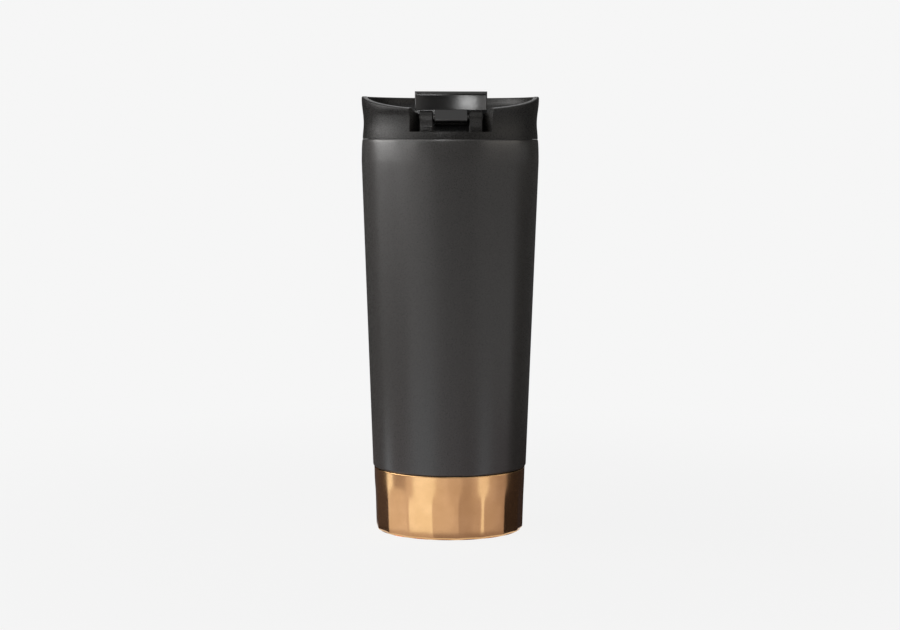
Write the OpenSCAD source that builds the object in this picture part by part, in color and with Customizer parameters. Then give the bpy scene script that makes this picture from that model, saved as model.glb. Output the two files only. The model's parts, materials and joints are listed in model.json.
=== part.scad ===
// Insulated tumbler with a push-on flip lid.
// +Z is up, the origin is the centre of the resting face, and the hinge side faces -Y.

/* [Body] */
// Height of the mouth edge above the table
body_h = 183.2; // [170:0.1:200]
// Widest diameter, just under the mouth
shoulder_d = 82.5; // [79:0.1:88]
// Depth of the widest ring below the mouth edge
shoulder_drop = 10.5; // [7:0.1:14]
// How much narrower the mouth edge is than the widest ring, in radius
mouth_tuck = 0.45; // [0.2:0.05:0.8]
// Diameter of the painted shell where it meets the base
foot_d = 72; // [70:0.1:75]
// Thickness of the outer shell's sheet
shell_wall = 0.5; // [0.4:0.05:0.7]
// Thickness of the liner's sheet
liner_wall = 0.45; // [0.35:0.05:0.6]
// Vacuum space between the walls, near the mouth
gap_top = 2; // [1.6:0.1:2.6]
// Vacuum space between the walls, near the base
gap_foot = 3.4; // [3:0.1:4.5]
// Depth of the straight bore that takes the lid
bore_h = 19; // [17:0.5:24]
// Radius of the corner between the liner's wall and its floor
liner_corner_r = 13; // [9:0.5:15]
// Thickness of the liner's welded floor
liner_floor_t = 0.8; // [0.6:0.1:1.2]

/* [Base] */
// Height of the faceted base above the table
base_h = 29.8; // [26:0.1:34]
// How far the base's upper edge stands inside the painted shell
base_step = 0.56; // [0.4:0.02:0.9]
// How much the base narrows from its upper edge to its lower one, in radius
base_taper = 0.8; // [0.4:0.05:1.2]
// Number of flat facets round the base
facets = 18; // [16:1:20]
// Turn of the facets about the axis, in degrees
facet_turn = 5.4; // [0:0.1:20]
// Height at which the facets are at full width
facet_full_z = 14; // [10:0.1:18]
// Height of the run-out over which the facets fade into the round wall
facet_fade_h = 11; // [4:0.1:12]
// Thinnest wall of the base, at the middle of a facet
base_wall = 0.8; // [0.7:0.05:0.95]
// Radius of the base's lower edge
base_edge_r = 1.5; // [1:0.1:2]
// Diameter of the silicone foot pad
pad_d = 58; // [50:0.5:60]
// Width of the ring of the foot pad that touches the table
pad_ring_w = 8; // [5:0.5:12]
// Thickness of the foot pad
pad_t = 1.6; // [1.4:0.1:1.8]
// How far the pad stands below the base
pad_proud = 0.4; // [0.2:0.1:0.6]

/* [Vacuum parts] */
// Height of the vacuum base's plate above its lower edge
base_plate_h = 4.4; // [3.5:0.1:5]
// Space between the vacuum base and the liner's floor
floor_gap = 4.4; // [3.8:0.1:6]
// Radius of the dimple in the vacuum base
dimple_r = 7; // [5:0.5:8]
// Depth of the dimple in the vacuum base
dimple_h = 1.8; // [1.2:0.1:2.4]
// Thickness of the radiation foil round the liner
foil_t = 0.1; // [0.05:0.01:0.2]
// Diameter of the getter pellet
getter_d = 8; // [6:0.5:10]
// Thickness of the getter pellet
getter_t = 1.4; // [1:0.1:1.6]
// Diameter of the evacuation hole
evac_d = 2; // [1.5:0.1:3]

/* [Lid] */
// Height of the drinking rim above the mouth edge
lid_h = 19.8; // [18.5:0.1:22]
// Height above the mouth edge of the collar's waist
waist_h = 7.3; // [6:0.1:9]
// How much narrower the waist is than the rim, in radius
waist_tuck = 0.95; // [0.5:0.05:1.2]
// How far the collar swells again below its waist, in radius
skirt_swell = 0.45; // [0.2:0.05:0.6]
// Slope of the front half of the rim, in degrees
rim_slope = 10.3; // [9:0.1:11]
// Depth of the deck below the rim
deck_drop = 10.5; // [10:0.1:11]
// Distance from the rim's outer edge to the deck's edge
deck_inset = 9.9; // [9.5:0.1:10.5]
// Thickness of the rim's lip
lip_t = 1.5; // [1.2:0.05:1.8]
// Thickness of the deck and of the walls round the notch
lid_wall = 2.2; // [1.8:0.1:2.4]
// Width of the notch between its inner cheeks
notch_w = 28.9; // [28.9:0.1:30]
// Extra half width of the notch where it opens through the collar
notch_flare = 4.7; // [4.2:0.1:5.2]
// Depth of the notch floor below the rim
notch_drop = 16.5; // [16.3:0.1:16.6]
// Depth of the plug below the mouth edge
plug_h = 17; // [15.5:0.1:18.5]
// Wall thickness of the plug
plug_wall = 1.8; // [1.4:0.1:2.2]
// Height of the sealing ring
gasket_h = 6; // [5:0.1:7]
// Length of the drinking slot
spout_l = 16; // [12:0.1:18]
// Width of the drinking slot
spout_w = 9; // [7:0.1:9.5]
// Distance of the drinking slot from the deck's edge
spout_margin = 2.85; // [2.8:0.05:4]
// Diameter of the vent hole
vent_d = 5; // [4.6:0.1:6]
// Distance of the vent hole from the axis, towards the hinge
vent_y = 12; // [9:0.1:14]

/* [Hinge] */
// Distance of the hinge axis from the rim's outer edge
hinge_inset = 10.25; // [10.05:0.05:10.6]
// Depth of the hinge axis below the rim
hinge_drop = 10.2; // [10:0.1:10.3]
// Radius of the rounded tops of the hinge posts
post_r = 3.2; // [3:0.1:3.3]
// How far the foot of each post sweeps forward on the notch floor
post_foot = 1.4; // [0.5:0.1:2]
// Width of one hinge post
post_w = 6; // [5:0.1:6.1]
// Diameter of the hinge pin
pin_d = 3; // [2.4:0.1:3.4]

/* [Lever] */
// Width of the lever
lever_w = 32.6; // [30:0.1:33]
// Height of the lever's top above the rim, at the hinge side
lever_rise = 1.7; // [1:0.1:2.5]
// Fall of the lever's top from the hinge side to its tip
lever_fall = 4.6; // [3:0.1:5]
// Wall thickness of the lever
lever_wall = 2; // [1.6:0.1:2.4]
// Height of the straight brow above the thumb scoop
brow_h = 1.8; // [1.5:0.1:2.5]
// Radius of the brow's upper front edge
brow_r = 1.3; // [0.8:0.1:1.5]
// Depth of the thumb scoop in the lever's front
scoop = 5; // [3:0.1:5.2]
// Distance of the lever's tip from the deck's edge
tip_margin = 0.85; // [0.5:0.05:2]
// Thickness of the two ribs inside the lever
rib_t = 1.2; // [0.8:0.1:1.6]
// Width of the thumb heel between the posts
heel_w = 14.6; // [13:0.1:15.6]
// Reach of the thumb heel in front of the hinge axis
heel_reach = 5.3; // [4.8:0.1:5.4]
// Radius of the hub that turns on the pin
hub_r = 3.9; // [3.6:0.1:4]

/* [Clearances] */
// Space between the lid's collar and the mouth edge
seam_gap = 0.25; // [0.2:0.05:0.4]
// Space between the sealing ring and the bore, uncompressed
seal_gap = 0.12; // [0.1:0.01:0.2]
// Space between the plug's skirt and the bore
plug_gap = 0.8; // [0.7:0.05:1]
// Radial running fit of the lever on its pin
run_fit = 0.07; // [0.04:0.01:0.1]
// Space between moving faces at the hinge
hinge_gap = 0.4; // [0.3:0.05:0.5]
// Space between pieces that are glued, welded or snapped together
joint_gap = 0.05; // [0.03:0.01:0.1]
// Space round the silicone stoppers
stopper_gap = 0.3; // [0.25:0.05:0.4]

/* [Hidden] */
$fn = 96;
arc_steps = 6;
fade_steps = 4;
eps = 0.01;
over = 1;

// Small fixed measures that no user is likely to change.
bore_inset = 0.9;
neck_lift = 1.8;
foil_low_gap = 4;
foil_high_gap = 6;
foil_off = 0.3;
clip_flange = 2.4;
clip_lip = 1;
getter_gap = 2;
seal_h = 0.9;
base_floor_t = 1;
base_rim_r = 0.3;
collar_edge = 0.5;
collar_chamfer = 0.18;
hollow_inset = 5;
register_gap = 0.55;
register_h = 1;
groove_depth = 2.4;
groove_lift = 3.5;
plug_lead = 1.5;
plug_relief = 0.6;
ring_drop = 1.4;
button_lip = 0.7;

shoulder_r = shoulder_d / 2;
shoulder_z = body_h - shoulder_drop;
mouth_r = shoulder_r - mouth_tuck;
mouth_edge_r = 0.6;
weld_r = mouth_r - shell_wall;
weld_h = 2;
foot_r = foot_d / 2;
roll_r = 1.3;
step_z = base_h + 0.2;
roll_z = step_z + roll_r;
base_top_r = foot_r - base_step;
base_low_r = base_top_r - base_taper;
facet_half = 180 / facets;
neck_low_z = pad_t + neck_lift;
bore_r = weld_r - liner_wall - bore_inset;
bore_low_z = body_h - bore_h;
flare_h = 1.7;
ledge_h = 1.8;
floor_z = neck_low_z + base_plate_h + floor_gap + liner_floor_t;
corner_z = floor_z + liner_corner_r;

base_floor_z = pad_t + base_floor_t;
plate_z = neck_low_z + base_plate_h;
clip_t = 0.4;
clip_r = getter_d / 2 + clip_flange;
getter_x = dimple_r + clip_r + getter_gap;

lid_z = body_h + seam_gap;
rim_z = body_h + lid_h;
rim_r = shoulder_r;
waist_z = body_h + waist_h;
waist_r = rim_r - waist_tuck;
lip_drop = 1.7;
deck_z = rim_z - deck_drop;
deck_r = rim_r - deck_inset;
hollow_r = rim_r - hollow_inset;
register_r = bore_r - register_gap;
ledge_z = lid_z + register_h;
roof_z = deck_z - lid_wall;
notch_z = rim_z - notch_drop;
notch_half = notch_w / 2;
notch_mouth_half = notch_half + notch_flare;
hinge_y = rim_r - hinge_inset;
notch_back_y = hinge_y - hub_r - hinge_gap;
notch_mouth_y = sqrt(rim_r * rim_r - notch_mouth_half * notch_mouth_half);
notch_flare_y = hinge_y - 1.5;
hinge_z = rim_z - hinge_drop;
post_out = notch_half - hinge_gap * 0.85;
post_in = post_out - post_w;
heel_half = min(heel_w / 2, post_in - hinge_gap);
pin_r = pin_d / 2;

plug_z = body_h - plug_h;
plug_r = bore_r - plug_gap;
groove_r = plug_r - groove_depth;
groove_z = plug_z + groove_lift;
gasket_r = bore_r - seal_gap;
chimney_wall = 1.6;
spout_y = deck_r - spout_w / 2 - spout_margin;

panel_y = hinge_y - post_r - hinge_gap;
lever_z = deck_z + 1.9;
lever_top_z = rim_z + lever_rise;
lever_half = lever_w / 2;
lever_corner_r = 1;
scoop_r = (lever_half * lever_half + scoop * scoop) / (2 * scoop);
front_y = panel_y + scoop;
skirt_z = hinge_z + post_r + hinge_gap;
lever_reach = deck_r - tip_margin;
fall_run = panel_y + lever_reach;
insert_t = 1.6;
rib_x = lever_half * 0.5;
flange_over = 1.8;
flange_z = deck_z + 0.12;
stem_r = 2.6;
vent_stem_r = 1.3;
knob_h = 1.2;

// Rise from 0 to 1 with level ends.
function ease(t) = (1 - cos(180 * t)) / 2;

// Points of an arc about c, from angle a to angle b.
function arc(c, r, a, b, n = arc_steps) =
    [for (i = [0:n]) let (t = a + (b - a) * i / n) c + r * [cos(t), sin(t)]];

// Outer radius of the painted shell on its straight taper.
function taper_r(z) = foot_r + (shoulder_r - foot_r) * (z - roll_z) / (shoulder_z - roll_z);

// Inner radius of the liner on its straight taper.
function liner_r(z) =
    let (t = (z - roll_z) / (shoulder_z - roll_z))
    taper_r(z) - shell_wall - liner_wall - gap_foot + (gap_foot - gap_top) * t;

// Radius of the base's round wall.
function base_r(z) = base_low_r + base_taper * (z - pad_proud) / (base_h - pad_proud);

// Distance from the axis to the flat of a facet.
function facet_r(z) = base_r(z) * cos(facet_half);

// Outer radius of the shell's neck, which the base covers.
function neck_r(z) = facet_r(z) - base_wall - joint_gap;

// Slope of the curve from the widest ring up to the mouth, moved in by d.
function shoulder_curve(d) = [for (i = [0:arc_steps])
    let (t = i / arc_steps)
    [shoulder_r - mouth_tuck * (1 - cos(90 * t)) - d,
        shoulder_z + (body_h - mouth_edge_r - shoulder_z) * sin(90 * t)]];

function flipped(points) = [for (i = [len(points) - 1:-1:0]) points[i]];

// A ring or cup from an outline of [radius, height] points.
module turned(points) {
    rotate_extrude() polygon(points);
}

// A slot standing on z = 0, long along X.
module slot(l, w, h) {
    for (s = [-1, 1])
        translate([s * (l - w) / 2, 0, 0]) cylinder(d = w, h = h);
    translate([-(l - w) / 2, -w / 2, 0]) cube([l - w, w, h]);
}

// A bar along X, centred, with an outline of [y, z] points.
module bar(points, l) {
    translate([-l / 2, 0, 0])
        rotate([90, 0, 90])
            linear_extrude(l) polygon(points);
}

// A round bar along X, centred on the hinge axis.
module hinge_bar(r, l) {
    translate([-l / 2, -hinge_y, hinge_z]) rotate([0, 90, 0]) cylinder(r = r, h = l);
}

// Painted outer wall, rolled in at its foot to a neck inside the base.
module outer_shell() {
    roll = [foot_r - roll_r, roll_z];
    outside = concat(
        [[weld_r, body_h]],
        arc([mouth_r - mouth_edge_r, body_h - mouth_edge_r], mouth_edge_r, 90, 0),
        flipped(shoulder_curve(0)),
        arc(roll, roll_r, 0, -90),
        [[neck_r(step_z), step_z], [neck_r(neck_low_z), neck_low_z]]);
    inside = concat(
        [[neck_r(neck_low_z) - shell_wall, neck_low_z],
            [neck_r(step_z + shell_wall) - shell_wall, step_z + shell_wall]],
        arc(roll, roll_r - shell_wall, -90, 0),
        [for (p = shoulder_curve(shell_wall)) if (p[1] < body_h - weld_h) p],
        [[weld_r, body_h - weld_h]]);
    color("dimgray") turned(concat(outside, inside));
}

// Bare steel liner, flared at the mouth and spun in at its foot.
module inner_liner() {
    corner = [liner_r(corner_z) - liner_corner_r, corner_z];
    inside = concat(
        [[weld_r - liner_wall, body_h], [weld_r - liner_wall, body_h - weld_h],
            [bore_r, body_h - weld_h - flare_h], [bore_r, bore_low_z],
            [liner_r(bore_low_z - ledge_h), bore_low_z - ledge_h]],
        arc(corner, liner_corner_r, 0, -90));
    outside = concat(
        arc(corner, liner_corner_r + liner_wall, -90, 0),
        [[liner_r(bore_low_z - ledge_h) + liner_wall, bore_low_z - ledge_h - liner_wall / 2],
            [bore_r + liner_wall, bore_low_z - liner_wall / 2],
            [bore_r + liner_wall, body_h - weld_h - flare_h + liner_wall / 2],
            [weld_r, body_h - weld_h + liner_wall / 2], [weld_r, body_h]]);
    color("silver") turned(concat(inside, outside));
}

// Disc welded into the liner's foot.
module liner_floor() {
    r = liner_r(corner_z) - liner_corner_r;
    color("silver")
        translate([0, 0, floor_z - liner_floor_t])
            cylinder(r = r, h = liner_floor_t);
}

// Copper foil wrapped round the liner inside the vacuum.
module radiation_foil() {
    low = corner_z + foil_low_gap;
    high = bore_low_z - ledge_h - foil_high_gap;
    off = liner_wall + foil_off;
    color("peru") turned([
        [liner_r(low) + off, low], [liner_r(high) + off, high],
        [liner_r(high) + off + foil_t, high], [liner_r(low) + off + foil_t, low]]);
}

// Pellet that soaks up stray gas after the vacuum is sealed.
module getter_pellet() {
    color("gray")
        translate([getter_x, 0, plate_z])
            cylinder(d = getter_d, h = getter_t);
}

// Pressed cap that holds the pellet on the vacuum base.
module getter_clip() {
    z = plate_z;
    r = getter_d / 2 + joint_gap;
    color("silver")
        translate([getter_x, 0, z])
            turned([[r, 0], [clip_r, 0], [clip_r, clip_t], [r + clip_t, clip_t],
                [r + clip_t, getter_t + clip_t + joint_gap],
                [r - clip_lip, getter_t + clip_t + joint_gap], [r - clip_lip, getter_t + joint_gap],
                [r, getter_t + joint_gap]]);
}

// Bottom of the vacuum space, with a dimple and the evacuation hole.
module vacuum_base() {
    z = neck_low_z;
    r = neck_r(z) - shell_wall;
    t = shell_wall;
    top = plate_z;
    color("silver") difference() {
        turned([[0, top + dimple_h], [dimple_r - 1, top + dimple_h], [dimple_r, top],
            [r - t, top], [r, top - t], [r, z], [r - t, z], [r - t, top - 2 * t],
            [r - 2 * t, top - t], [dimple_r - t, top - t],
            [dimple_r - 1 - t, top + dimple_h - t], [0, top + dimple_h - t]]);
        translate([0, 0, z]) cylinder(d = evac_d, h = base_plate_h + dimple_h + over);
    }
}

// Solder bead that closes the evacuation hole from below.
module vacuum_seal() {
    z = plate_z + dimple_h - shell_wall;
    r = evac_d / 2;
    color("gray") union() {
        translate([0, 0, z - seal_h]) cylinder(r1 = r * 1.6, r2 = r * 2.2, h = seal_h);
        translate([0, 0, z - eps]) cylinder(r = r, h = shell_wall + eps);
    }
}

// Distance from the axis to a facet at height z, where it fades into the round wall.
function fading_r(z) =
    let (t = min(max((z - facet_full_z) / facet_fade_h, 0), 1))
    facet_r(z) + (base_r(z) - facet_r(z)) * ease(t);

// One facet's cutter, which fades out of the round wall at its top.
module facet_cut() {
    far = base_top_r + over;
    low = -over;
    fade_z = facet_full_z + facet_fade_h;
    width = 2 * base_top_r * sin(facet_half) + over;
    rotate([90, 0, 90])
        translate([0, 0, -width / 2])
            linear_extrude(width)
                polygon(concat(
                    [[-far, low], [-facet_r(low), low]],
                    [for (i = [0:fade_steps])
                        let (z = facet_full_z + facet_fade_h * i / fade_steps)
                        [-fading_r(z), z]],
                    [[-far, fade_z]]));
}

// Faceted copper-coloured base, glued over the shell's neck.
module base_cup() {
    edge = [base_r(pad_proud) - base_edge_r, pad_proud + base_edge_r];
    bore = base_wall;
    color("sienna") difference() {
        turned(concat(
            [[0, pad_proud]],
            arc(edge, base_edge_r, -90, 0),
            [[base_top_r, base_h - base_rim_r], [base_top_r - base_rim_r, base_h],
                [facet_r(base_h) - bore, base_h],
                [facet_r(base_floor_z) - bore, base_floor_z], [0, base_floor_z]]));
        for (i = [0:facets - 1])
            rotate([0, 0, facet_turn + facet_half + i * 360 / facets]) facet_cut();
        translate([0, 0, -over])
            cylinder(r = pad_d / 2 + joint_gap, h = pad_t + over);
    }
}

// Non-slip pad set into the underside.
module foot_pad() {
    color("dimgray") difference() {
        cylinder(d = pad_d, h = pad_t);
        translate([0, 0, -over]) cylinder(d = pad_d - 2 * pad_ring_w, h = pad_proud / 2 + over);
    }
}

// Plan of the notch in the collar, grown by d.
module notch_plan(d, h) {
    mouth = notch_mouth_half + d;
    half = notch_half + d;
    linear_extrude(h) polygon([
        [-half, -notch_back_y + d], [half, -notch_back_y + d], [half, -notch_flare_y],
        [mouth, -notch_mouth_y], [mouth + over, -rim_r - over],
        [-mouth - over, -rim_r - over], [-mouth, -notch_mouth_y], [-half, -notch_flare_y]]);
}

// Outline of the collar, its rim and the bowl that the deck lies in.
function collar_points() = concat(
    [[0, lid_z], [waist_r + skirt_swell - collar_chamfer, lid_z]],
    [for (i = [0:arc_steps])
        let (t = i / arc_steps, low = lid_z + collar_edge)
        [waist_r + skirt_swell * ease(1 - t), low + (waist_z - low) * t]],
    [for (i = [1:arc_steps])
        let (t = i / arc_steps)
        [waist_r + waist_tuck * ease(t), waist_z + (rim_z - lip_drop - waist_z) * t]],
    [for (a = [15:15:90])
        [rim_r - lip_t * 0.6 * (1 - cos(a)), rim_z - lip_drop * (1 - sin(a))]],
    [[rim_r - lip_t * 0.85, rim_z - lip_drop * 0.1], [rim_r - lip_t, rim_z - lip_drop * 0.35],
        [rim_r - lip_t - 0.4, rim_z - deck_drop * 0.32],
        [rim_r - lip_t - 1.6, rim_z - deck_drop * 0.57],
        [deck_r + 2.8, rim_z - deck_drop * 0.81],
        [deck_r, deck_z], [0, deck_z]]);

// Hinge post with a round top and a foot that sweeps forward.
module post(side) {
    front = -hinge_y - post_r;
    h = hinge_z - notch_z;
    translate([side > 0 ? post_in : -post_out, 0, 0]) {
        translate([0, -hinge_y, hinge_z]) rotate([0, 90, 0]) cylinder(r = post_r, h = post_w);
        rotate([90, 0, 90]) linear_extrude(post_w) polygon(concat(
            [[front, hinge_z]],
            [for (i = [0:arc_steps])
                let (a = 90 * i / arc_steps)
                [front - post_foot * (1 - cos(a)), notch_z + h * 0.7 * (1 - sin(a))]],
            [[front - post_foot, notch_z - eps], [-hinge_y + post_r, notch_z - eps],
                [-hinge_y + post_r, hinge_z]]));
    }
}

// Collar, rim, bowl and hinge posts of the lid, in one moulding.
module lid_collar() {
    color("#1c1c1e") difference() {
        union() {
            difference() {
                turned(collar_points());
                translate([0, 0, notch_z]) notch_plan(0, lid_h);
            }
            for (s = [-1, 1]) post(s);
        }
        translate([0, 0, lid_z - over]) cylinder(r = register_r, h = register_h + over);
        difference() {
            translate([0, 0, ledge_z - eps]) cylinder(r = hollow_r, h = roof_z - ledge_z + eps);
            translate([0, 0, ledge_z - over]) notch_plan(lid_wall, lid_h);
        }
        translate([-shoulder_d, 0, rim_z]) rotate([rim_slope, 0, 0])
            translate([0, -shoulder_d, 0]) cube([2 * shoulder_d, shoulder_d, lid_h]);
        translate([0, spout_y, roof_z - over]) slot(spout_l, spout_w, deck_drop);
        translate([0, -vent_y, roof_z - over]) cylinder(d = vent_d, h = deck_drop);
        hinge_bar(pin_r, 2 * post_out + 2 * eps);
    }
}

// Hollow lower half of the lid, with the passages up to the deck.
module lid_plug() {
    top = ledge_z - joint_gap;
    rise = roof_z - joint_gap - plug_z;
    ring_r = register_r - joint_gap;
    ring_z = body_h - ring_drop;
    color("#1c1c1e") difference() {
        union() {
            difference() {
                turned([[0, plug_z], [plug_r - plug_lead, plug_z],
                    [plug_r - plug_relief, plug_z + plug_lead - plug_relief],
                    [plug_r - plug_relief, groove_z], [groove_r, groove_z],
                    [groove_r, groove_z + gasket_h], [plug_r, groove_z + gasket_h],
                    [plug_r, ring_z], [ring_r, ring_z + plug_relief], [ring_r, top], [0, top]]);
                translate([0, 0, plug_z + plug_wall])
                    cylinder(r = groove_r - plug_wall, h = plug_h + lid_h);
            }
            translate([0, spout_y, plug_z])
                slot(spout_l + 2 * chimney_wall, spout_w + 2 * chimney_wall, rise);
            translate([0, -vent_y, plug_z]) cylinder(r = vent_d / 2 + chimney_wall, h = rise);
        }
        translate([0, spout_y, plug_z - over]) slot(spout_l, spout_w, rise + 2 * over);
        translate([0, -vent_y, plug_z - over]) cylinder(d = vent_d, h = rise + 2 * over);
    }
}

// Foam disc that fills the plug.
module lid_insulation() {
    z = plug_z + plug_wall + joint_gap;
    h = ledge_z - joint_gap - z;
    hole = 2 * (chimney_wall + joint_gap);
    color("white") difference() {
        translate([0, 0, z]) cylinder(r = groove_r - plug_wall - joint_gap, h = h);
        translate([0, spout_y, z - over]) slot(spout_l + hole, spout_w + hole, h + 2 * over);
        translate([0, -vent_y, z - over]) cylinder(d = vent_d + hole, h = h + 2 * over);
    }
}

// Silicone sealing ring with two lips.
module lid_gasket() {
    low = groove_z + joint_gap;
    h = gasket_h - 2 * joint_gap;
    in = groove_r + joint_gap;
    body = plug_r - 0.2;
    color("gray") turned([
        [in, low], [body, low], [gasket_r - 0.4, low + h * 0.12], [gasket_r, low + h * 0.26],
        [body, low + h * 0.42], [body, low + h * 0.55], [gasket_r - 0.4, low + h * 0.62],
        [gasket_r, low + h * 0.76], [body, low + h * 0.92], [body, low + h], [in, low + h]]);
}

// Steel pin, pressed into the posts.
module hinge_pin() {
    color("silver") hinge_bar(pin_r, 2 * post_out);
}

// Side view of the lever, moved in by d along its top and front.
function lever_side(d) =
    let (top = lever_top_z - d, front = (d > 0 ? -panel_y : -front_y) + d, r = max(brow_r - d, 0.2))
    concat(
        [[front, lever_z - over], [lever_reach + over, lever_z - over],
            [lever_reach + over, top - lever_fall],
            [lever_reach * 0.4, top - lever_fall * 0.42]],
        arc([front + r, top - r], r, 90, 180));

// Plan of the lever, moved in by d, from its front at y = -front to its round tip.
module lever_plan(d, front, z, h) {
    half = lever_half - d;
    r = lever_corner_r;
    back = lever_reach - lever_half;
    low = -front + d;
    translate([0, 0, z]) union() {
        translate([0, back, 0]) cylinder(r = half, h = h);
        translate([-half, low + r, 0]) cube([2 * half, back - low - r, h]);
        translate([-half + r, low, 0]) cube([2 * (half - r), r + eps, h]);
        for (s = [-1, 1]) translate([s * (half - r), low + r, 0]) cylinder(r = r, h = h);
    }
}

// Lever: a hollow tray with the hub and the thumb heel at its hinge end.
module flip_lever() {
    h = lever_top_z - lever_z + over;
    hub_back = -panel_y + lever_wall;
    color("#151517") difference() {
        union() {
            difference() {
                intersection() {
                    lever_plan(0, front_y, lever_z, h);
                    bar(lever_side(0), lever_w + 2 * over);
                }
                intersection() {
                    lever_plan(lever_wall, panel_y, lever_z - over, h);
                    bar(lever_side(lever_wall), lever_w + 2 * over);
                }
                translate([0, -panel_y - scoop_r, lever_z - over])
                    cylinder(r = scoop_r, h = lever_top_z - brow_h - lever_z + over);
                translate([-shoulder_r, -rim_r, lever_z - over])
                    cube([shoulder_d, rim_r - panel_y, skirt_z - lever_z + over]);
            }
            intersection() {
                lever_plan(lever_wall / 2, panel_y, lever_z + insert_t + joint_gap, h);
                bar(lever_side(lever_wall / 2), lever_w);
                for (s = [-1, 1])
                    translate([s * rib_x - rib_t / 2, -shoulder_r, lever_z])
                        cube([rib_t, shoulder_d, h]);
            }
            hinge_bar(hub_r, 2 * heel_half);
            bar([[-hinge_y - 0.6, hinge_z + hub_r - 0.1],
                [-hinge_y - heel_reach + 0.25, hinge_z - 0.5],
                [-hinge_y - heel_reach, hinge_z - 1], [-hinge_y - heel_reach + 0.3, hinge_z - 1.6],
                [-hinge_y - hub_r * 0.5, hinge_z - hub_r * 0.86], [-hinge_y, hinge_z],
                [hub_back, lever_z], [hub_back, hinge_z + hub_r + 1.2],
                [-panel_y, hinge_z + hub_r + 1.2]], 2 * heel_half);
        }
        hinge_bar(pin_r + run_fit, lever_w);
    }
}

// Snap-in underside of the lever, which carries the two stoppers.
module lever_insert() {
    d = lever_wall + joint_gap;
    color("#1c1c1e") difference() {
        lever_plan(d, panel_y, lever_z, insert_t);
        translate([0, spout_y, lever_z - over]) cylinder(r = stem_r + joint_gap, h = insert_t + 2 * over);
        translate([0, -vent_y, lever_z - over])
            cylinder(r = vent_stem_r + joint_gap, h = insert_t + 2 * over);
    }
}

// Silicone stopper of the drinking slot, buttoned into the insert.
module spout_stopper() {
    l = spout_l - 2 * stopper_gap;
    w = spout_w - 2 * stopper_gap;
    flange_h = lever_z - joint_gap - flange_z;
    color("gray") translate([0, spout_y, 0]) union() {
        translate([0, 0, deck_z - lid_wall]) slot(l, w, lid_wall + flange_h);
        translate([0, 0, flange_z])
            slot(spout_l + 2 * flange_over, spout_w + 2 * flange_over, flange_h);
        translate([0, 0, lever_z - joint_gap - eps])
            cylinder(r = stem_r, h = insert_t + 2 * joint_gap + eps);
        translate([0, 0, lever_z + insert_t + joint_gap])
            cylinder(r1 = stem_r + button_lip, r2 = stem_r, h = knob_h);
    }
}

// Silicone stopper of the vent hole.
module vent_stopper() {
    flange_h = lever_z - joint_gap - flange_z;
    color("gray") translate([0, -vent_y, 0]) union() {
        translate([0, 0, deck_z - lid_wall])
            cylinder(r = vent_d / 2 - stopper_gap, h = lid_wall + flange_h);
        translate([0, 0, flange_z]) cylinder(r = vent_d / 2 + flange_over, h = flange_h);
        translate([0, 0, lever_z - joint_gap - eps])
            cylinder(r = vent_stem_r, h = insert_t + 2 * joint_gap + eps);
        translate([0, 0, lever_z + insert_t + joint_gap])
            cylinder(r1 = vent_stem_r + button_lip, r2 = vent_stem_r, h = knob_h);
    }
}

outer_shell();
inner_liner();
liner_floor();
radiation_foil();
getter_pellet();
getter_clip();
vacuum_base();
vacuum_seal();
base_cup();
foot_pad();
lid_collar();
lid_plug();
lid_insulation();
lid_gasket();
hinge_pin();
flip_lever();
lever_insert();
spout_stopper();
vent_stopper();
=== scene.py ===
import json
import math
import bmesh
import bpy
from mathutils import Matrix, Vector


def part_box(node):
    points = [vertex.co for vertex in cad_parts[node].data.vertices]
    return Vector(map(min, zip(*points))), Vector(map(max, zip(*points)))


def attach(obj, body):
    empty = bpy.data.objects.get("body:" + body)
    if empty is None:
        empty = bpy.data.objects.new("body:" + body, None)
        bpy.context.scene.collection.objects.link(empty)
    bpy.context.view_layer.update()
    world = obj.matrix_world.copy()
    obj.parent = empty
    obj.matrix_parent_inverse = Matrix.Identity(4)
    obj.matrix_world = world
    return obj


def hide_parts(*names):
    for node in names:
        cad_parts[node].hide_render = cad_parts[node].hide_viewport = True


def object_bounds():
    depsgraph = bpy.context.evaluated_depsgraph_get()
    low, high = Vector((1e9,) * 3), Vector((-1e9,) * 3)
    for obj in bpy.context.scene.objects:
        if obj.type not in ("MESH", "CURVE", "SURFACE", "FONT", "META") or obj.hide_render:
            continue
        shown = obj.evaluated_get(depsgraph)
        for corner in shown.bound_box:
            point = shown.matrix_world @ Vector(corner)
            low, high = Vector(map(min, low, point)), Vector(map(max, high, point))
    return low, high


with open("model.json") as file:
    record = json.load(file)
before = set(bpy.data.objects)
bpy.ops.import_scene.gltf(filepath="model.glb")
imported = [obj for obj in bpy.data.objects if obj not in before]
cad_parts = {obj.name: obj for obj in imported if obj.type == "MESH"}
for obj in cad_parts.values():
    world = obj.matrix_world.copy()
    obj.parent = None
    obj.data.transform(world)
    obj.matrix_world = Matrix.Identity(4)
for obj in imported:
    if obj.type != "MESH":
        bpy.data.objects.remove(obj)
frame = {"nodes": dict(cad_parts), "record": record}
cadLow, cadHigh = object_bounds()
nodes = frame["nodes"]
scene = bpy.context.scene
mm = 0.001

# places that every piece takes from the frame
shellLow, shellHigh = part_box("outer_shell")
cupLow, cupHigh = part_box("base_cup")
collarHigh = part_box("lid_collar")[1]
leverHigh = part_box("flip_lever")[1]
pinLow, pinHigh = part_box("hinge_pin")
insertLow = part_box("lever_insert")[0]
stopperLow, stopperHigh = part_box("spout_stopper")
ventLow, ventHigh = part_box("vent_stopper")
hingeY = (pinLow.y + pinHigh.y) / 2
hingeZ = (pinLow.z + pinHigh.z) / 2
rimRadius = collarHigh.x
mouthZ = shellHigh.z

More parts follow.
